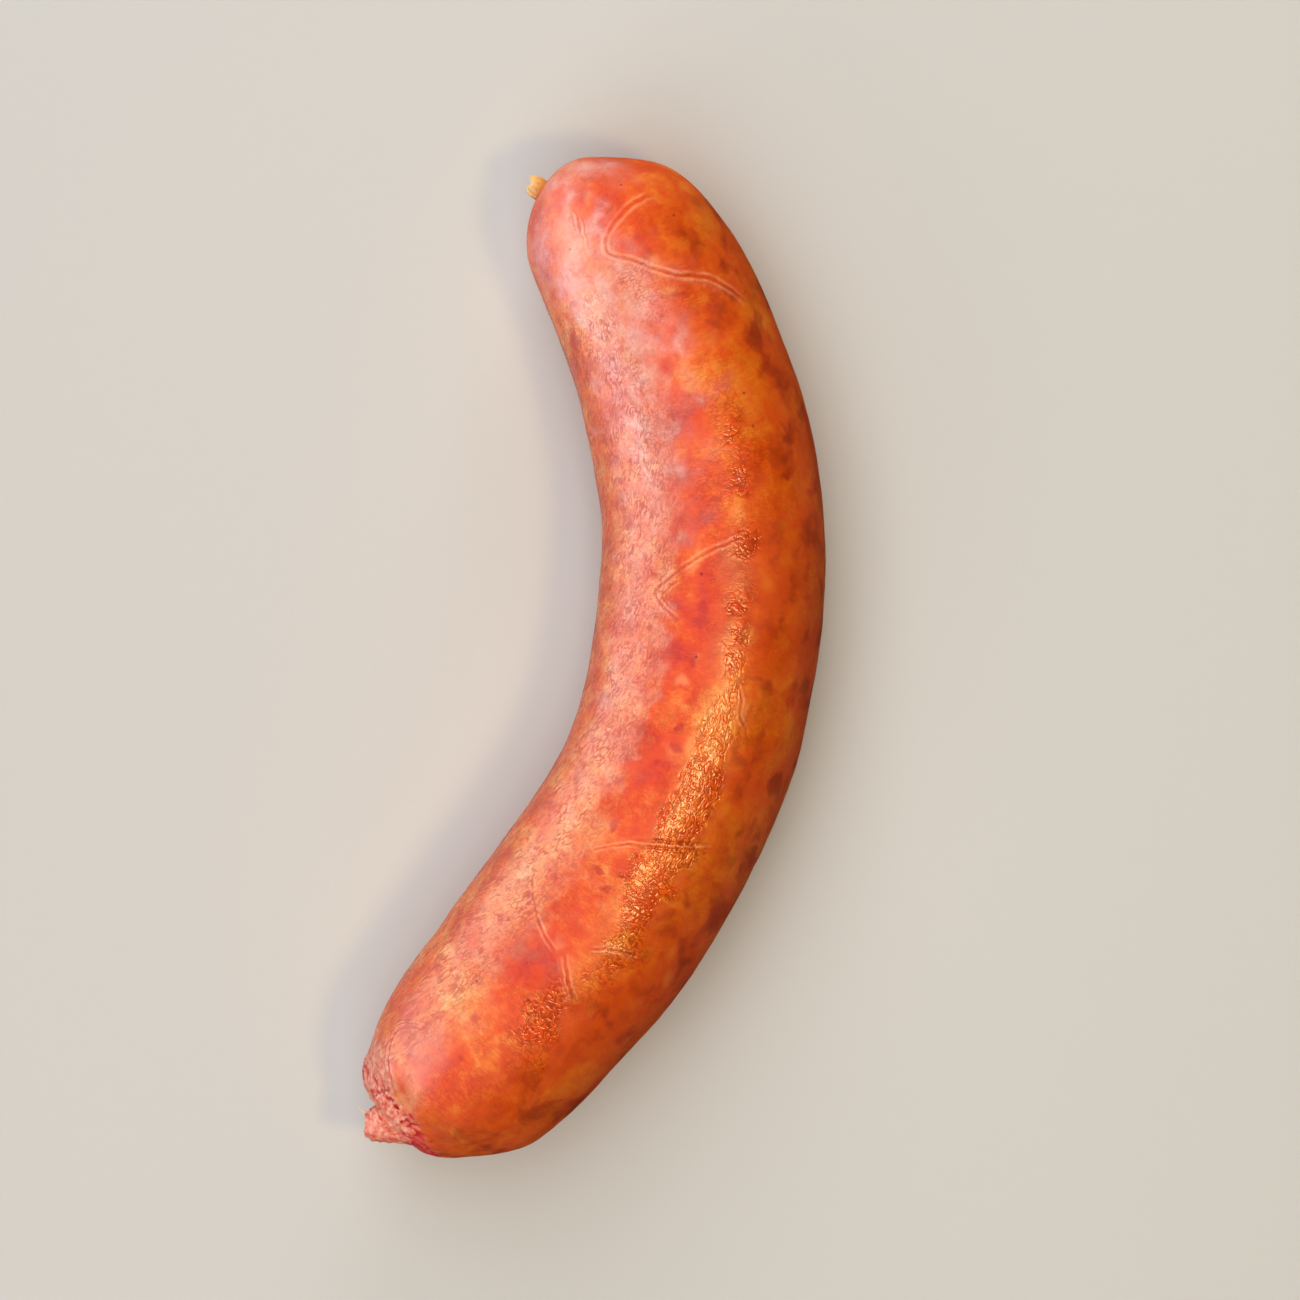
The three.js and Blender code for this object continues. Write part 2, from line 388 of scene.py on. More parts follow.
# The lumps fade out on the tail.
on_body = 1 / (1 + np.exp(-(straight[:, 0] - 1 * MM) / (0.8 * MM)))
lumps = LUMP_HEIGHT * grain(straight, LUMP, 1, 2)
chunks = CHUNK_HEIGHT * grain(straight, CHUNK, 2, 2)
patchy = np.clip(0.55 + 0.9 * grain(straight, 9 * MM, 3), 0.15, 1)
fine = CRUMPLE_HEIGHT * crumple(straight, CRUMPLE, 4) * patchy
print("lumps up to", round(np.abs(lumps).max() / MM, 2), "mm, crumple up to",
      round(np.abs(fine).max() / MM, 2), "mm")

# %% [markdown]
# ## Gathers and pits at the tail
# Where the tail was drawn together, the skin radiates in uneven gathers with small wet pits
# between them. The gathers follow the angle round the link, so they close up towards the neck as
# cloth does in a drawstring. `pitted` is kept for the finish, because the pits show dark red.
# Above the tail the skin slopes down to it like a shelf. The tail itself has fine folds that run
# round it, and its cut rim is ragged. On the outer side the link has one shallow dent.

# %% Gathers, pits, tail folds and a dent
DENT = (88.8, 43, 2.4, 0.4)  # along, degrees, size and depth
TAIL_FOLD = 0.95 * MM  # from one fold of the tail to the next
TAIL_FOLD_HEIGHT = 0.11 * MM
RIM_RAG = 0.45 * MM
NECK_FILLED = 0.7
SHELF = (2.7, 3.3, 2.7, -16)  # place along, length, drop and the angle it faces
GATHER_HEIGHT = 0.4  # this and the next in mm
PIT_DEPTH = 0.9
GATHERED = (2, 4.2)  # the middle and the reach of the gathers, in mm along


def shelf(straight):
    """The slope of the skin down to the tail."""
    at, length, drop, degrees = SHELF
    facing = unit(np.cos(np.radians(angle_of(straight) - degrees))) ** 1.5
    along = straight[:, 0] / MM
    filled = NECK_FILLED * hump((along + 1.9) / 1.4)
    return facing * MM * (filled - drop * hump((along - at) / length))


def gathers(straight):
    along = straight[:, 0] / MM
    outwards = straight[:, 1:] / np.maximum(radius_of(straight), 0.1 * MM)[:, None]
    ring = np.column_stack([outwards * 4.2, along / 7])
    ridges = 1 - 2 * np.abs(grain(ring, 1, 5, 2))
    at, length = GATHERED
    reach = hump((along - at) / length)
    wet = unit(grain(straight, 1.1 * MM, 6, 2) - 0.04)
    turned = angle_of(straight)
    # The pits lie on an uneven line round the tail's neck.
    line = 2.5 + 0.7 * grain(straight, 3 * MM, 15)
    line -= 0.035 * np.clip(turned - 10, 0, 40) + 0.01 * np.clip(-turned - 20, 0, 50)
    band = np.exp(-np.abs((along - line) / 1.3) ** 3)
    height = GATHER_HEIGHT * (ridges - 0.5) * reach - PIT_DEPTH * wet * band
    outer = unit((turned - 15) / 25)
    return height * MM, unit((3.6 * wet + 0.15 + 0.45 * outer) * band)


def tail_folds(straight):
    out = np.maximum(-straight[:, 0], 0)
    wander = 0.5 * TAIL_FOLD * grain(straight, 2.4 * MM, 7)
    wave = np.cos((out + wander) * math.tau / TAIL_FOLD)
    return TAIL_FOLD_HEIGHT * wave * unit(out / (1.5 * MM))


def dent(straight):
    at, degrees, size, depth = DENT
    side = np.radians(angle_of(straight) - degrees) * radius_of(straight) / MM
    far = np.hypot(straight[:, 0] / MM - at, side)
    return -depth * MM * hump(far / size)


gather_height, pitted = gathers(straight)
print("pits reach", round(-gather_height.min() / MM, 2), "mm deep")

# %% [markdown]
# ## Raise the folds and bend the skin
# A fold is two narrow ridges with a shallow groove between, dying away at its ends. Then the whole
# skin is bent along its middle line, and what would lie under the table is pressed up to it.

# %% Raise the folds, then bend and press the skin
def raised_folds(straight):
    unevenness = np.clip(0.75 + 1.1 * grain(straight, 2.4 * MM, 13), 0.35, 1)
    wander = 0.16 * MM * grain(straight, 1.7 * MM, 14, 2)
    other = unit(0.2 + 1.6 * grain(straight, 3 * MM, 17))
    height, light_and_shade = np.zeros((2, len(straight)))
    for rise, gap, curve in FOLD_CURVES:
        distance, share = near_fold(straight, curve)
        distance = distance + wander
        fade = np.sin(math.pi * unit(share)) ** 0.4
        fade = fade * np.maximum(unevenness, 0.8 * (rise < 0))
        width = (0.23 if rise > 0 else 0.15) * gap
        left = hump((distance - gap / 2) / width)
        right = hump((distance + gap / 2) / width)
        groove = hump(distance / width)
        third = hump((np.abs(distance) - 1.15 * gap) / width) * other
        height += rise * fade * (left + 0.85 * right + 0.6 * third - 0.3 * groove)
        # For a fold this paints highlight on the ridges and shade in the groove; for cracks the other
        # way round.
        light_and_shade += math.copysign(1, rise) * fade * (left + right + 0.5 * third - 0.8 * groove)
    return height, np.clip(light_and_shade, -1, 1)


def raised(straight, height):
    radius = radius_of(straight)
    near_axis = unit(radius / (1.5 * MM))
    scale = 1 + height * near_axis / np.maximum(radius, 0.01 * MM)
    along = straight[:, 0] - RIM_RAG * rim_rag * (straight[:, 0] < 0)
    return np.column_stack([along, straight[:, 1:] * scale[:, None]])


def pressed(placed):
    placed[:, 2] = np.maximum(placed[:, 2], 0)
    return placed


fold_height, fold_light_and_shade = raised_folds(straight)
plain_height = swells(straight)
relief = (lumps + chunks + fine) * on_body + gather_height + tail_folds(straight) + fold_height
relief += dent(straight) + shelf(straight)
rim = unit((-straight[:, 0] - 3.4 * MM) / (1.5 * MM))
rim_rag = rim * grain(np.column_stack([straight[:, 1:], 0 * straight[:, 0]]), 1.3 * MM, 8, 2)
plain = bend(raised(straight, plain_height))
centre = np.array((solid_high.x - plain[:, 0].max(), solid_low.y - plain[:, 1].min(), 0))
placed = pressed(bend(raised(straight, plain_height + relief)) + centre)
print("centred by", [round(v / MM, 2) for v in centre], "mm")

# %% [markdown]
# ## The filling that shows through
# The casing is thin, so the chopped meat shows through it: red lean, paler fat, and mixed places
# between. Most of that comes from noise in the finish. The pieces of lean that stand out are laid
# here, as the place along, the angle from the top, the size and the strength. Two more lists do the
# same for the gut: where it has crumpled into wrinkles that glint, and where it looks milky, which
# is dried gut and, on the flank towards the hollow, painted sheen. Noise in the distance keeps all
# their edges uneven. On the flank towards the hollow a long pale strip with a torn edge joins the
# milky patches: painted sheen where the window's reflection ends.

# %% Lay the patches of lean and of gut
LEAN = [  # along, degrees, size in mm, strength
    (185, -24, 5, 0.7), (180, 42, 6, 0.6), (157, 16, 7, 0.7), (113, 6, 7, 1), (108, -4, 5, 0.6),
    (97, -16, 5, 0.9), (80, -14, 6, 0.9), (36, -18, 6, 0.8), (137, -1, 5, 0.6), (129, 11, 5, 0.6),
    (90, -30, 5, 0.4), (40, 1, 5, 0.7), (16, -27, 5, 0.6), (184, -43, 5, 0.4), (34, 18, 5, 0.5),
    (15, 18, 5, 0.5), (104, 11, 6, 0.8), (120, 10, 4, 0.6), (97, 13, 4, 0.4), (177, 8, 3, 0.6),
    (168, 14, 4, 0.6), (183, 5, 3, 0.6), (149.5, -9, 1.6, 1), (142, -6, 2.3, 0.9),
    (139, -10, 1.9, 0.9), (145, -16, 2, 0.6), (130, -14, 3, 1), (129, 8, 1.9, 0.9),
    (124.5, -7, 3.5, 1), (121, -17, 3, 1), (154, 28, 3, 0.6), (40, 31, 5, 0.5), (103, 25, 4, 0.5),
    (116, 37, 4, 0.5), (101, 49, 5, 0.4), (54, 61, 5, 0.4),
]
WRINKLED = [  # crumpled gut
    (120, 17, 3.6, 0.6), (117, 13, 3, 0.7), (110, 13, 3.6, 0.65), (106, 14, 3, 0.6),
    (101, 13, 3, 0.75), (97, 15, 3, 0.8), (91, 13.5, 3.6, 0.9), (87, 13, 3.6, 1.1),
    (82, 14, 4, 1.2), (78, 14, 4, 1.2), (73, 14.5, 4, 1.2), (69, 14.5, 4, 1.2),
    (65, 14.5, 4.2, 1.2), (61, 15, 4.2, 1.1), (57, 16, 4.2, 0.8), (53, 18, 4.2, 0.75),
    (49, 24, 3.6, 0.8), (43, 22, 3.6, 0.7), (38, 14, 3.2, 0.6), (34, 7, 4.2, 0.6),
    (31, 11, 4.5, 0.6), (27, 15, 4, 0.5), (24, 25, 3, 0.5), (88, 36, 4, 0.4), (113, 60, 5, 0.4),
    (132, 22, 5, 0.6), (139, 14, 4, 0.6), (127, 4, 5, 0.5), (168.5, 0, 3, 0.22),
    (164.5, 2, 3.5, 0.3), (164, -9, 3, 0.2), (160.5, 12, 3, 0.35), (158, 22, 3, 0.4),
    (100, 125, 9, 0.6), (130, -125, 9, 0.6), (40, -130, 9, 0.6), (70, 150, 10, 0.6),
    (150, 150, 9, 0.6),
]
# Dried, pale gut, and on the flank towards the hollow painted sheen.
MILKY_AND_SHEEN = [  # dried, pale gut
    (166, -12, 6, 0.9), (160, -24, 7, 0.9), (170, -34, 6, 0.8), (150, -28, 7, 0.9),
    (180, -55, 6, 0.6), (141, -28, 6, 0.8), (133, -30, 6, 0.7), (124, -30, 6, 0.6),
    (116, -42, 4.5, 0.6), (106, -43, 4.5, 0.6), (96, -43, 4.5, 0.6), (87, -45, 5, 0.5),
    (78, -44, 5, 0.5), (70, -40, 5, 0.4), (62, -40, 5, 0.4), (20, -28, 6, 0.35), (56, -34, 6, 0.4),
    (48, -44, 6, 0.5), (38, -38, 7, 0.55), (28, -30, 6, 0.4), (13, -25, 4, 0.4), (172, -9, 5, 0.4),
    (158, -10, 6, 0.4), (8, -14, 2.5, 0.5), (4.5, -8, 2.5, 0.6), (178.5, -21, 4.5, 0.9),
    (174, -20, 4, 0.8), (187, -10, 3.5, 0.3), (186, 30, 4, 0.6), (184.5, 50, 4, 0.6),
    (120, -130, 9, 0.4), (60, 130, 9, 0.4),
]


def patches(straight, rows, unevenness, edge):
    along = straight[:, 0] / MM
    radius = radius_of(straight) / MM
    angle = angle_of(straight)
    uneven = 1 + unevenness * grain(straight, 4 * MM, 9, 3)
    total = np.zeros(len(straight))
    for at, degrees, size, strength in rows:
        side = np.radians(angle - degrees) * radius
        far = np.hypot(along - at, side) / size
        total += strength * np.exp(-((far * uneven) ** edge))
    return total


def smooth_step(values, low, high):
    t = unit((values - low) / (high - low))
    return t * t * (3 - 2 * t)


# A pale strip on the flank towards the hollow: painted sheen where the window's reflection ends.
SHEEN_STRIP_ALONG = [38, 66, 123, 137, 163, 176]  # mm along
SHEEN_STRIP_EDGE = [20, 22, 22, 17, 4, 2]  # degrees from the top towards the hollow, at those places
SHEEN_STRIP_STRENGTH = 0.5

along_mm = straight[:, 0] / MM
angle = angle_of(straight)
by_the_nub = smooth_step(along_mm, 166, 178)
lean = patches(straight, LEAN, 0.45, 2.5)
elsewhere = 0.34 * smooth_step(grain(straight, 8 * MM, 18, 2), -0.15, 0.25) * (1 - by_the_nub)
wrinkled = np.clip(patches(straight, WRINKLED, 0.45, 5), elsewhere, 1)
milky_and_sheen = unit(patches(straight, MILKY_AND_SHEEN, 0.5, 2))
past_edge = -angle - np.interp(along_mm, SHEEN_STRIP_ALONG, SHEEN_STRIP_EDGE)
past_edge += 9 * grain(straight, 3.5 * MM, 19, 3)
sheen_strip = smooth_step(past_edge, -1.5, 1.5) * (1 - smooth_step(past_edge, 12, 30))
sheen_strip *= smooth_step(along_mm, 30, 50) * (1 - 0.6 * smooth_step(along_mm, 150, 165))
milky_and_sheen = np.maximum(milky_and_sheen, SHEEN_STRIP_STRENGTH * sheen_strip)
print("lean covers", round(100 * float((lean > 0.4).mean())), "% of the corners by hand")

# %% [markdown]
# ## The skin becomes a piece
# The corners are moved to their places, and what the finish needs is stored on them as numbers,
# mostly from 0 to 1:
# - `lean`, `wrinkled`, the milky patches, which are partly painted sheen, and `pitted`: the patches
#   and the pits.
# - `fold`: painted highlight on a fold's ridges and painted shade in its groove; below zero, painted
#   shade in a pair of cracks.
# - `tail`: the bare gathered gut, which reaches furthest towards the hollow.
# - the smoked side: browner towards the outside of the bend, partly from smoke and partly as
#   painted shade, and without blue as painted warm light; `blotched`: where brown blotches may lie.
# - `hollow_side` and `hollow_rim`: the flank towards the hollow, and its lower edge.
# - `satin`: duller skin; `lengthwise`: where the creases run along the link.
# The straight place itself is stored as `unbent`, for patterns that follow the bend.
# The piece rides on the root body and replaces the imported solid.

# %% Make the skin's piece
def put_in_scene(name, data):
    made = bpy.data.objects.new(name, data)
    bpy.context.scene.collection.objects.link(made)
    return made


def mesh_from(name, bm):
    mesh = bpy.data.meshes.new(name)
    bm.to_mesh(mesh)
    bm.free()
    return put_in_scene(name, mesh)


def piece(name, bm):
    bmesh.ops.recalc_face_normals(bm, faces=bm.faces[:])
    for face in bm.faces:
        face.smooth = True
    made = mesh_from(name, bm)
    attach(made, "root")
    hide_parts("sausage")
    return made


def store(made, name, values, kind="FLOAT"):
    attribute = made.data.attributes.new(name, kind, "POINT")
    field = "vector" if kind == "FLOAT_VECTOR" else "value"
    attribute.data.foreach_set(field, np.asarray(values, dtype=np.float32).ravel())


def place_corners(bm, places):
    for vert, place in zip(bm.verts, places):
        vert.co = place


place_corners(skin, placed)
casing = piece("casing", skin)
tail_edge = along_mm + 1.6 * grain(straight, 2 * MM, 16, 2)
tail_edge += 2.5 * smooth_step(angle, 5, 35) - 4.5 * smooth_step(-angle, 15, 45)
# Browner towards the outside of the bend: partly smoke, partly painted shade and painted warm light.
smoked_and_shaded = smooth_step(angle, -5, 45) * (1 - 0.5 * by_the_nub)
hollow_side = smooth_step(-angle, 5, 35) * smooth_step(along_mm, 4, 9)
hollow_rim = smooth_step(-angle, 25, 50) * smooth_step(along_mm, 35, 80)
skin_values = {
    "lean": lean, "wrinkled": wrinkled, "milky_and_sheen": milky_and_sheen, "pitted": pitted, "fold": fold_light_and_shade,
    "tail": 1 - smooth_step(tail_edge, 2, 5.5),
    "smoked_and_shaded": smoked_and_shaded,
    "blotched": np.maximum(smoked_and_shaded, hollow_rim) * (1 - by_the_nub),
    "hollow_side": hollow_side * (1 - 0.6 * smooth_step(along_mm, 160, 175)),
    "hollow_rim": hollow_rim,
    "satin": np.maximum(smooth_step(angle, -3, 9), smooth_step(along_mm, 178, 185)),
    "lengthwise": smooth_step(along_mm, 60, 66) * (1 - smooth_step(along_mm, 96, 102)),
}
for name, values in skin_values.items():
    store(casing, name, values)
store(casing, "unbent", straight, "FLOAT_VECTOR")
print("casing:", sum(len(p.vertices) - 2 for p in casing.data.polygons), "triangles")

# %% [markdown]
# ## The dried nub
# The other end of the casing was twisted shut and dried to a hard knob. It is spun like the skin,
# then shaped: a notch across its end parts it in two lobes, one of them taller, and grooves run
# along it where the gut is twisted.

# %% Spin and shape the nub
NUB_LENGTH = 2.65 * MM
NUB_ROOT = 1.6 * MM
NUB_ASIDE = 0.45 * MM
NUB_RADII = np.array([1.7, 1.95, 1.9, 1.85, 1.7, 1.25]) * MM
NUB_DIMPLE = 0.5 * MM
NUB_RINGS = 44
NUB_CAP_RINGS = 8
NUB_AROUND = 96


def nub_outline():
    share = np.linspace(0, 1, NUB_RINGS - NUB_CAP_RINGS)
    out = -NUB_ROOT + share * (NUB_LENGTH + NUB_ROOT)
    cap = np.linspace(1, 0, NUB_CAP_RINGS)[1:]
    along = np.concatenate([[-NUB_ROOT], out, np.full(len(cap), NUB_LENGTH)])
    radius = np.concatenate([[0], through(NUB_RADII, share), cap * NUB_RADII[-1]])
    return along, radius


def shape_nub(places):
    x, y, z = places.T
    out = unit(x / NUB_LENGTH)
    around = np.arctan2(z, y)
    lobes = 0.12 * out * np.cos(4 * around + 0.5)
    grooves = -0.12 * np.abs(np.cos(4.5 * around + 1.2 * out)) ** 6
    grooves += 0.07 * grain(places, 0.7 * MM, 11)
    scale = 1 + lobes + grooves * unit(out * 3)
    inner = unit(1 - radius_of(places) / (1.3 * MM))
    notch = 0.5 * MM * hump(y / (0.42 * MM)) * out**3
    taller = 0.3 * MM * out * np.clip(-y / MM, -1, 1)
    along = x - NUB_DIMPLE * inner * out - notch + taller
    return along, y * scale + NUB_ASIDE, z * scale


nub = spun(*nub_outline(), NUB_AROUND)
nub_places = corners_of(nub)
along, aside, up = shape_nub(nub_places)
end_x, end_y, heading = line_at([LENGTH])
turned_nub = np.column_stack([
    end_x + along * np.cos(heading) - aside * np.sin(heading),
    end_y + along * np.sin(heading) + aside * np.cos(heading),
    middle_height(np.array([LENGTH])) + up,
]) + centre
place_corners(nub, turned_nub)
dried_nub = piece("dried_nub", nub)
store(dried_nub, "out", unit(nub_places[:, 0] / NUB_LENGTH))
print("nub:", len(dried_nub.data.polygons), "faces")

# %% [markdown]
# ## Two torn wisps
# A natural gut tears in hair-thin strings. Two are left at the tail: one from the corner of the
# cut, one from the skin beside it. Each is a thin cone bent sideways.

# %% Bend the two wisps
WISPS = [  # where each starts and ends, how far it bows, and its thickness at the root
    ("wisp_at_the_cut", (-82.75, 30.7, 15.6), (-81.6, 33, 15.9), 0.06, 0.42),
    ("wisp_on_the_skin", (-79.9, 30.9, 15.9), (-80.3, 32.25, 16.2), -0.12, 0.22),
]


def wisp(name, start, end, bow, thickness):
    start, end = Vector(start) * MM, Vector(end) * MM
    bm = bmesh.new()
    length = (end - start).length
    bmesh.ops.create_cone(
        bm, cap_ends=True, segments=8, radius1=thickness * MM, radius2=0.03 * MM, depth=length,
    )
    bmesh.ops.subdivide_edges(
        bm, edges=[e for e in bm.edges if abs(e.verts[0].co.z - e.verts[1].co.z) > length / 2],
        cuts=7, use_grid_fill=True,
    )
    turn = (end - start).to_track_quat("Z", "Y").to_matrix().to_4x4()
    for vert in bm.verts:
        share = vert.co.z / length + 0.5
        vert.co.x += bow * MM * math.sin(math.pi * share)
        vert.co.y *= 0.55
    bmesh.ops.transform(
        bm, matrix=Matrix.Translation((start + end) / 2) @ turn, verts=bm.verts[:],
    )
    return piece(name, bm)


wisps = [wisp(*row) for row in WISPS]
print("wisps:", [w.name for w in wisps])

# %% [markdown]
# ## Tools for the finishes
# Colours are given as screen hex values, and one function turns them linear. Another adds a node,
# sets it, fills a colour ramp's stops, and feeds the inputs with plain values or other nodes.

# %% Colour and node helpers
def linear(hex_colour):
    channels = [int(hex_colour[i:i + 2], 16) / 255 for i in (1, 3, 5)]
    return (*[c / 12.92 if c <= 0.04045 else ((c + 0.055) / 1.055) ** 2.4 for c in channels], 1)


def add(tree, kind, inputs, stops=(), **settings):
    """Adds one node; a node given as an input means its first output in use."""
    node = tree.nodes.new("ShaderNode" + kind)
    for name, value in settings.items():
        setattr(node, name, value)
    for name, value in inputs.items():
        if isinstance(value, bpy.types.Node):
            value = next(output for output in value.outputs if output.enabled)
        if isinstance(value, bpy.types.NodeSocket):
            tree.links.new(value, node.inputs[name])
        else:
            node.inputs[name].default_value = value
    for _ in stops[2:]:
        node.color_ramp.elements.new(0.5)
    for index, (position, colour) in enumerate(stops):
        node.color_ramp.elements[index].position = position
        node.color_ramp.elements[index].color = linear(colour)
    return node


def new_material(name):
    material = bpy.data.materials.new(name)
    material.use_nodes = True
    material.node_tree.nodes.clear()
    return material, material.node_tree


print("middle grey is", round(linear("#808080")[0], 3), "in linear light")

# %% [markdown]
# ## The meat behind the casing
# The filling is coarsely ground pork with paprika: lean that has gone orange-red, paler fat, and
# fibres of lean between. The gut in front of it blurs it, so it is built from soft noise: 12 mm
# clouds, and the 5.5 mm chunks and 3.2 mm bits that a grinder's plate leaves. Fibres of 0.7 mm
# and hairs of 0.3 mm run across the link; real ones are finer than 0.1 mm, so they are drawn as
# coarse as they have to be to show. Each pattern adds its share to one tone, low for fat and high
# for deep lean, and a ramp colours it. Spots of fat and dots of lean come from the distance to
# scattered points.
# Towards the outside of the bend the skin is browner, partly from smoke and partly as painted shade,
# and its blue is taken out as painted warm light. Blotches lie where `blotched` allows them.

# %% Mix the colours of the meat
MEAT = [  # from fat to deep lean
    (0.22, "#F49A58"), (0.38, "#F07B3C"), (0.52, "#EB6228"), (0.66, "#E44C20"),
    (0.82, "#DC4226"), (1, "#C6322A"),
]
# Each kind of spot: its spacing, where it is full and where gone as shares of that, its strength,
# the random number from which it starts to show and is there for sure, and its colour.
SPOTS = [
    (5 * MM, 0.10, 0.40, 0.55, 0.45, 0.75, "#F59A66"),
    (3.6 * MM, 0.12, 0.34, 0.75, 0.55, 0.70, "#C4302A"),
]
WANDER = 5 * MM  # how far the patterns are pushed about, and at what size
# On the smoked side: browner, partly smoke and partly painted shade; yellower, painted warm light.
BROWNER = (0.69, 0.57, 1, 1)  # these four multiply red, green and blue
WARM_LIGHT_TINT = (1, 1, 0.02, 1)
BLOTCH = (0.78, 0.58, 0.64, 1)
SMOKED_BLOTCH = (0.58, 0.45, 0.26, 1)


def meat_colour(tree, place, unbent, stored):
    wander = add(tree, "TexNoise", {"Vector": place, "Scale": 1 / WANDER})
    wander = add(tree, "VectorMath", {0: wander.outputs["Color"], 1: (0.5, 0.5, 0.5)},
                 operation="SUBTRACT")
    warped = add(tree, "VectorMath", {0: wander, 1: (WANDER, WANDER, WANDER), 2: place},
                 operation="MULTIPLY_ADD")
    crosswise = add(tree, "VectorMath", {0: unbent, 1: (1, 0.35, 0.35)}, operation="MULTIPLY")
    patterns = []
    for vector, size, share, detail, roughness, distortion in (
        (warped, 12 * MM, 0.85, 3, 0.5, 0),
        (warped, 3.2 * MM, 0.75, 2, 0.6, 0),
        (crosswise, 0.7 * MM, 0.45, 3, 0.75, 0.6),
        (crosswise, 0.3 * MM, 0.35, 1, 0.5, 0.8),
    ):
        patterns.append((share, add(tree, "TexNoise", {
            "Vector": vector, "Scale": 1 / size, "Detail": detail, "Roughness": roughness,
            "Distortion": distortion,
        })))
    chunks = add(tree, "TexVoronoi", {
        "Vector": warped, "Scale": 1 / (5.5 * MM), "Smoothness": 0.35,
    }, feature="SMOOTH_F1")
    patterns.append((0.2, add(tree, "SeparateColor", {0: chunks.outputs["Color"]})))
    patterns.append((0.3, stored["lean"]))
    tone = -0.775  # so that the sum of the patterns lies in the middle of the ramp
    for share, pattern in patterns:
        tone = add(tree, "Math", {0: pattern, 1: share, 2: tone}, operation="MULTIPLY_ADD")
    meat = add(tree, "ValToRGB", {"Fac": tone}, stops=MEAT)
    for spacing, full, gone, strength, none, sure, dye in SPOTS:
        cells = add(tree, "TexVoronoi", {"Vector": warped, "Scale": 1 / spacing})
        spot = add(tree, "MapRange", {
            "Value": cells.outputs["Distance"], "From Min": full, "From Max": gone,
            "To Min": strength, "To Max": 0,
        }, interpolation_type="SMOOTHSTEP")
        chance = add(tree, "SeparateColor", {0: cells.outputs["Color"]})
        chance = add(tree, "MapRange", {"Value": chance, "From Min": none, "From Max": sure})
        spot = add(tree, "Math", {0: spot, 1: chance}, operation="MULTIPLY")
        meat = add(tree, "Mix", {0: spot, 6: meat, 7: linear(dye)}, data_type="RGBA")
    return meat, warped


def smoke_and_shade_layers(tree, warped, stored):
    """Layers over the meat, the lowest first: how much of each, its colour, how it blends."""
    smoked_and_shaded = stored["smoked_and_shaded"]
    # The outer side's browning is partly smoke and partly painted shade; its lost blue is painted
    # warm light.
    evened = add(tree, "Math", {0: smoked_and_shaded, 1: 0.45}, operation="MULTIPLY")
    warm_lit = add(tree, "Math", {0: smoked_and_shaded, 1: 0.45}, operation="POWER")
    blotches = add(tree, "TexNoise", {
        "Vector": warped, "Scale": 1 / (6 * MM), "Detail": 4, "Roughness": 0.55,
    })
    blotches = add(tree, "MapRange", {"Value": blotches, "From Min": 0.47, "From Max": 0.68},
                   interpolation_type="SMOOTHSTEP")
    blotches = add(tree, "Math", {0: blotches, 1: stored["blotched"]}, operation="MULTIPLY")
    shade = add(tree, "Mix", {0: smoked_and_shaded, 6: BLOTCH, 7: SMOKED_BLOTCH}, data_type="RGBA")
    return [
        (evened, linear("#EC6A2E"), "MIX"), (smoked_and_shaded, BROWNER, "MULTIPLY"),
        (warm_lit, WARM_LIGHT_TINT, "MULTIPLY"), (blotches, shade, "MULTIPLY"),
    ]


print("meat:", len(MEAT), "colours, and spots", [round(row[0] / MM, 1) for row in SPOTS], "mm apart")

# %% [markdown]
# ## Wrinkles too fine for the mesh
# Shrunken gut is covered with winding creases less than 1 mm apart, finer than the mesh. A noise
# crosses its middle value along thin winding lines, so the distance from the middle gives lines
# of an even width. They run mostly across the link, and along it where `lengthwise` says, so both
# are made, by stretching the straight coordinates. On the flank towards the hollow the creases
# are short oblique strokes, broken by a second noise.
# In the finish their valleys, and the strokes, are darkened with painted shade.

# %% Draw the winding creases
CREASE_SPACING = 0.88 * MM
STROKE_SPACING = 0.8 * MM


def from_line(tree, vector, size, distortion):
    """0 on winding lines that lie about one size apart, growing away from them."""
    waves = add(tree, "TexNoise", {
        "Vector": vector, "Scale": 1 / size, "Detail": 0, "Distortion": distortion,
    })
    off = add(tree, "Math", {0: waves, 1: 0.5}, operation="SUBTRACT")
    return add(tree, "Math", {0: off}, operation="ABSOLUTE")


def creases(tree, unbent, stored):
    """Painted shade in the valleys of the creases, and how deep the skin sinks round them."""
    along = add(tree, "VectorMath", {0: unbent, 1: (0.7, 1.1, 1.1)}, operation="MULTIPLY")
    across = add(tree, "VectorMath", {0: unbent, 1: (1.2, 0.75, 0.75)}, operation="MULTIPLY")
    along = from_line(tree, along, CREASE_SPACING, 0.9)
    across = from_line(tree, across, CREASE_SPACING, 0.9)
    both = add(tree, "Mix", {0: stored["lengthwise"], 2: across, 3: along}, data_type="FLOAT")
    deeper = add(tree, "Math", {0: stored["wrinkled"], 1: 2}, operation="POWER")
    made = []
    for width, strength in ((0.15, stored["wrinkled"]), (0.30, deeper)):
        line = add(tree, "MapRange", {
            "Value": both, "From Max": width, "To Min": 1, "To Max": 0,
        }, interpolation_type="SMOOTHSTEP")
        made.append(add(tree, "Math", {0: line, 1: strength}, operation="MULTIPLY"))
    return made


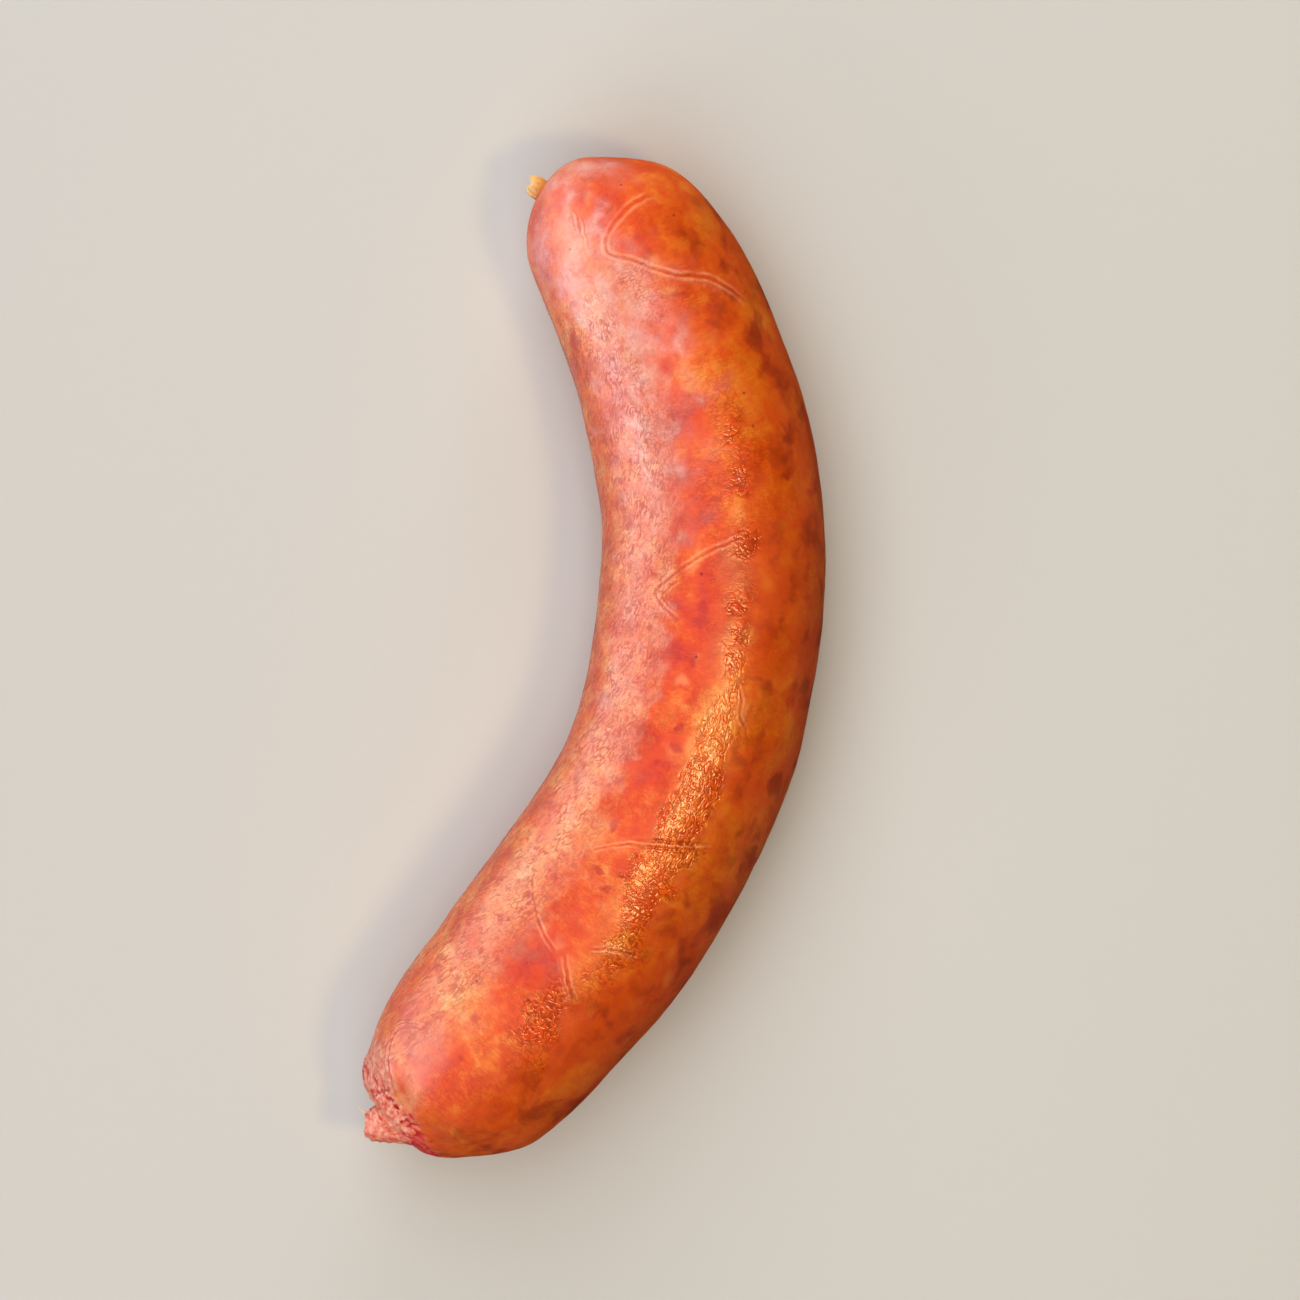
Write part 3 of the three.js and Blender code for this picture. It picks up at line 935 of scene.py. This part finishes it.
def strokes(tree, unbent, oblique, stored):
    lines = add(tree, "MapRange", {
        "Value": from_line(tree, oblique, STROKE_SPACING, 0.8), "From Max": 0.17,
        "To Min": 1, "To Max": 0,
    }, interpolation_type="SMOOTHSTEP")
    broken = add(tree, "TexNoise", {"Vector": unbent, "Scale": 1 / (2.6 * MM), "Detail": 3})
    broken = add(tree, "MapRange",
                 {"Value": broken, "From Min": 0.38, "From Max": 0.6, "To Min": 0.2})
    lines = add(tree, "Math", {0: lines, 1: broken}, operation="MULTIPLY")
    return add(tree, "Math", {0: lines, 1: stored["hollow_side"]}, operation="MULTIPLY")


print("creases lie", CREASE_SPACING / MM, "mm apart and strokes", STROKE_SPACING / MM, "mm")

# %% [markdown]
# ## The gut over the meat
# The real thing is hog casing, a translucent gut about 0.1 mm thick, stretched wet over the meat
# and dried a little. It is laid over the meat in layers: milky streaks where it has dried, which on
# the flank towards the hollow are also painted sheen; its own pale fibres on that flank, made paler
# partly as painted sheen, with a mauve cast at its lower edge that is painted sheen; the bare gut of
# the tail, with dark red pits; and a few dark specks. The fibres of real gut are finer than a hair,
# so they are drawn 0.5 mm wide.

# %% Layer the gut over the meat
# Paler fibres on the flank towards the hollow, partly painted sheen, and a mauve cast there, painted
# sheen.
FIBRE_AND_SHEEN_PALER = (0.95, 1.15, 1.16)  # this and the next multiply red, green and blue
MAUVE_SHEEN = (1.02, 0.97, 1.18, 1)


def gut_layers(tree, place, unbent, oblique, stored):
    streaky = add(tree, "TexNoise", {
        "Vector": place, "Scale": 1 / (4 * MM), "Detail": 6, "Roughness": 0.8, "Distortion": 0.2,
    })
    streaky = add(tree, "MapRange", {
        "Value": streaky, "From Min": 0.38, "From Max": 0.62, "To Min": 0.25, "To Max": 0.75,
    })
    # Milky patches: pale dried gut, and on the flank towards the hollow painted sheen.
    milky_and_sheen = add(tree, "Math", {0: stored["milky_and_sheen"], 1: streaky}, operation="MULTIPLY")
    along = add(tree, "SeparateXYZ", {0: unbent})
    pinker = add(tree, "MapRange", {"Value": along, "From Min": 60 * MM, "From Max": 140 * MM})
    dried_gut_and_sheen = add(tree, "Mix", {0: pinker, 6: linear("#F0B08C"), 7: linear("#EFB8AE")},
                    data_type="RGBA")

    # The fibres make the flank towards the hollow paler: partly the gut's own fibres, partly painted
    # sheen.
    fibres_and_sheen = add(tree, "TexNoise", {
        "Vector": oblique, "Scale": 1 / (0.5 * MM), "Detail": 3, "Roughness": 0.8,
        "Distortion": 0.8,
    })
    fibres_and_sheen = add(tree, "MapRange", {
        "Value": fibres_and_sheen, "From Min": 0.3, "From Max": 0.7, "To Min": 0.72, "To Max": 1.28,
    })
    fibres_and_sheen = add(tree, "VectorMath", {0: FIBRE_AND_SHEEN_PALER, "Scale": fibres_and_sheen}, operation="SCALE")

    tail = add(tree, "Math", {0: stored["tail"], 1: 0.85}, operation="MULTIPLY")
    bare_gut = add(tree, "TexNoise", {"Vector": place, "Scale": 1 / (0.9 * MM), "Detail": 3})
    bare_gut = add(tree, "ValToRGB", {"Fac": bare_gut}, stops=[
        (0.34, "#CE5048"), (0.44, "#DE7A68"), (0.56, "#E89A84"), (0.68, "#F0B49C"),
    ])
    pits = add(tree, "MapRange", {"Value": stored["pitted"], "From Min": 0.2, "From Max": 0.8})
    specks = add(tree, "TexVoronoi", {"Vector": place, "Scale": 1 / (6 * MM)})
    specks = add(tree, "MapRange", {
        "Value": specks.outputs["Distance"], "From Min": 0.03, "From Max": 0.06, "To Min": 0.75,
        "To Max": 0,
    })
    return [
        (milky_and_sheen, dried_gut_and_sheen, "MIX"), (stored["hollow_side"], fibres_and_sheen, "MULTIPLY"),
        (stored["hollow_rim"], MAUVE_SHEEN, "MULTIPLY"), (tail, bare_gut, "MIX"),
        (pits, linear("#B82026"), "MIX"), (specks, linear("#7E1A10"), "MIX"),
    ]


# The paler fibres are partly painted sheen.
print("gut fibres multiply the meat's colour by", FIBRE_AND_SHEEN_PALER)

# %% [markdown]
# ## The finish of the casing
# Light goes through the gut into the meat, so the colour is soft and warm, and a little subsurface
# scattering keeps it so. The moist surface is glossy, with the index of wet fat, 1.45. The last
# layers of colour are painted highlight on the folds' ridges and painted shade in their grooves, in
# the creases and in the strokes, and a bump of up to 0.06 mm sinks the creases and strokes, which
# breaks up the highlights. The roughness is uneven, from 0.24 to 0.40, more where `satin` says, and
# an even 0.22 where the gut is wrinkled, which makes the glints.

# %% Make the casing's finish
def casing_finish():
    material, tree = new_material("natural hog casing over coarse pork")
    place = add(tree, "TexCoord", {}).outputs["Object"]
    unbent = add(tree, "Attribute", {}, attribute_name="unbent").outputs["Vector"]
    stored = {name: add(tree, "Attribute", {}, attribute_name=name).outputs["Fac"]
              for name in skin_values}
    oblique = add(tree, "VectorRotate", {"Vector": unbent, "Angle": math.radians(32)},
                  rotation_type="Y_AXIS")
    oblique = add(tree, "VectorMath", {0: oblique, 1: (0.22, 1, 1)}, operation="MULTIPLY")
    colour, warped = meat_colour(tree, place, unbent, stored)
    layers = smoke_and_shade_layers(tree, warped, stored)
    layers += gut_layers(tree, place, unbent, oblique, stored)

    # Painted highlight on the folds' ridges, and painted shade in their grooves and cracks.
    ridge_highlight = add(tree, "MapRange", {"Value": stored["fold"], "To Max": 0.5})
    groove = add(tree, "MapRange", {"Value": stored["fold"], "From Max": -1, "To Max": 0.45})
    # Painted shade in the creases' valleys; the sunk lines only drive the bump.
    crease_shade, sunk = creases(tree, unbent, stored)
    crease_and_groove_shade = add(tree, "Math", {0: crease_shade, 1: 0.85, 2: groove}, operation="MULTIPLY_ADD",
               use_clamp=True)
    # Painted shade in the strokes on the flank towards the hollow.
    stroked = strokes(tree, unbent, oblique, stored)
    stroke_shade = add(tree, "Math", {0: stroked, 1: 0.85}, operation="MULTIPLY")
    layers += [
        (ridge_highlight, linear("#FFB58C"), "MIX"), (crease_and_groove_shade, linear("#9C3208"), "MIX"),
        (stroke_shade, linear("#B4341E"), "MIX"),
    ]
    for share, over, blend in layers:
        colour = add(tree, "Mix", {0: share, 6: colour, 7: over}, data_type="RGBA",
                     blend_type=blend)

    height = add(tree, "Math", {0: sunk, 1: -1}, operation="MULTIPLY")
    height = add(tree, "Math", {0: stroked, 1: -0.5, 2: height}, operation="MULTIPLY_ADD")
    bump = add(tree, "Bump", {"Height": height, "Distance": 0.06 * MM})
    dull = add(tree, "TexNoise",
               {"Vector": place, "Scale": 1 / (5 * MM), "Detail": 5, "Roughness": 0.6})
    dull = add(tree, "MapRange", {
        "Value": dull, "From Min": 0.35, "From Max": 0.65, "To Min": 0.24, "To Max": 0.40,
    })
    dull = add(tree, "Math", {0: stored["satin"], 1: 0.18, 2: dull}, operation="MULTIPLY_ADD")
    dull = add(tree, "Mix", {0: stored["wrinkled"], 2: dull, 3: 0.22}, data_type="FLOAT")
    dull = add(tree, "Math", {0: stroked, 1: 0.15, 2: dull}, operation="MULTIPLY_ADD")
    shader = add(tree, "BsdfPrincipled", {
        "Base Color": colour, "Roughness": dull, "Normal": bump, "IOR": 1.45,
        "Subsurface Weight": 0.2, "Subsurface Radius": (1, 0.3, 0.12),
        "Subsurface Scale": 1 * MM,
    })
    add(tree, "OutputMaterial", {"Surface": shader})
    return material


casing.data.materials.append(casing_finish())
print("finished", casing.name, "in", casing.data.materials[0].name)

# %% [markdown]
# ## The finish of the dried gut
# The nub and the wisps are bare gut with no meat behind. Twisted dry, it is tan, browner at its
# root, and hard; the torn strings are thin and pale.

# %% Make the dried gut's finishes
def dried_finish(name, stops):
    material, tree = new_material(name)
    place = add(tree, "TexCoord", {}).outputs["Object"]
    mottle = add(tree, "TexNoise", {"Vector": place, "Scale": 1 / (1.2 * MM), "Detail": 3})
    out = add(tree, "Attribute", {}, attribute_name="out").outputs["Fac"]
    tone = add(tree, "Math", {0: mottle, 1: 0.5, 2: out}, operation="MULTIPLY_ADD")
    colour = add(tree, "ValToRGB", {"Fac": tone}, stops=stops)
    bump = add(tree, "Bump", {"Height": mottle, "Distance": 0.12 * MM})
    shader = add(tree, "BsdfPrincipled", {
        "Base Color": colour, "Roughness": 0.42, "Normal": bump, "Subsurface Weight": 0.25,
        "Subsurface Radius": (1, 0.5, 0.2), "Subsurface Scale": 1 * MM,
    })
    add(tree, "OutputMaterial", {"Surface": shader})
    return material


dried_nub.data.materials.append(dried_finish("dried twisted gut", [
    (0.25, "#C8701F"), (0.6, "#DB9A4C"), (1, "#E6B674"),
]))
wisp_gut = dried_finish("torn gut string", [(0.1, "#DBB09E"), (0.5, "#EDCDBD")])
for made in wisps:
    made.data.materials.append(wisp_gut)
print("finished", dried_nub.name, "and", len(wisps), "wisps")

# %% [markdown]
# ## Floor and camera
# The link lies on a plain pale floor. It is matt, isn't mirrored in the moist skin, and holds back
# no light, because one of the sheens comes from below it. The camera looks straight down from
# 0.9 m through a long lens, turned so that the link stands up in the picture.

# %% Lay the floor and set up the camera
bm = bmesh.new()
bmesh.ops.create_grid(bm, x_segments=1, y_segments=1, size=3)
floor = mesh_from("floor", bm)
floor.visible_glossy = False
floor.visible_shadow = False
paper, tree = new_material("matt pale paper")
shader = add(tree, "BsdfPrincipled",
             {"Base Color": linear("#C9C8C5"), "Roughness": 1, "Specular IOR Level": 0})
add(tree, "OutputMaterial", {"Surface": shader})
floor.data.materials.append(paper)

VIEW_CENTRE = Vector((4.28, -4.51, 17)) * MM
VIEW_ROLL = math.radians(-80.96)
CAMERA_DISTANCE = 0.9
FRAME_WIDTH = 224.3 * MM

camera_data = bpy.data.cameras.new("camera")
camera_data.lens = camera_data.sensor_width * CAMERA_DISTANCE / FRAME_WIDTH
camera = put_in_scene("camera", camera_data)
camera.location = VIEW_CENTRE + Vector((0, 0, CAMERA_DISTANCE))
camera.rotation_euler = (0, 0, VIEW_ROLL)
bpy.context.scene.camera = camera
bpy.context.scene.view_settings.view_transform = "Standard"
print("lens:", round(camera_data.lens, 1), "mm")

# %% [markdown]
# ## Lights
# Moist skin needs two kinds of light, so each light either colours the skin or only shines on it.
# A wide soft light overhead fills the top, and two small ones lift the rounded ends. The sheen on
# the flank towards the hollow comes from a wide window there, with a little sky beside it and a
# bright table below. On the outer side a small warm lamp, with a soft halo, gives the wrinkles
# their line of glints.

# %% Set the lights
LIGHTS = [  # name, towards, distance, width and height in metres, watts, colour, what it does
    ("window sheen", (0.06, 0.98, 0.16), 0.75, 1.25, 0.8, 13.2, "#FFEEE0", "gloss"),
    ("sky sheen", (-0.45, 0.85, 0.36), 0.75, 0.4, 0.5, 1.3, "#F4F0FF", "gloss"),
    ("table sheen", (0.1, 0.65, -0.75), 0.75, 1.1, 0.7, 1.8, "#FFDCC8", "gloss"),
    ("overhead fill", (-0.04, 0.2, 0.97), 1, 2.2, 0.9, 13.8, "#FFFFFF", "colour"),
    ("nub end fill", (0.95, 0.1, 0.24), 0.8, 0.5, 0.5, 3.8, "#FFFFFF", "colour"),
    ("tail end fill", (-0.8, 0.5, 0.33), 0.8, 0.5, 0.5, 1.5, "#FFFFFF", "colour"),
    ("warm lamp", (-0.12, -0.42, 0.9), 0.8, 0.12, 0.12, 1.5, "#FFD98F", "colour"),
    ("warm lamp glints", (-0.055, -0.36, 0.93), 0.8, 0.17, 0.17, 3.7, "#FFD68C", "gloss"),
    ("warm lamp halo", (-0.08, -0.5, 0.88), 0.8, 0.3, 0.24, 0.8, "#FFC06A", "gloss"),
]


def area_light(name, towards, distance, width, height, watts, colour, does):
    data = bpy.data.lights.new(name, "AREA")
    data.shape = "RECTANGLE"
    data.size = width
    data.size_y = height
    data.energy = watts
    data.color = linear(colour)[:3]
    light = put_in_scene(name, data)
    direction = Vector(towards).normalized()
    light.location = VIEW_CENTRE + direction * distance
    light.rotation_euler = direction.to_track_quat("Z", "Y").to_euler()
    light.visible_camera = False
    light.visible_glossy = does != "colour"
    light.visible_diffuse = does != "gloss"
    return light


lights = [area_light(*row) for row in LIGHTS]
world = bpy.data.worlds.new("soft studio")
world.use_nodes = True
background = world.node_tree.nodes["Background"]
background.inputs["Color"].default_value = linear("#9A9A9A")
background.inputs["Strength"].default_value = 0.05
bpy.context.scene.world = world
print("lights:", [light.name for light in lights])

# %% [markdown]
# ## The solid's box
# The imported solid's box is printed, in millimetres. The finished model has to stay in the
# imported solid's box, but for the little that soft skin may stand proud.

# %% Print the solid's box
print("solid:", [round(v / MM, 1) for v in (*solid_low, *solid_high)])
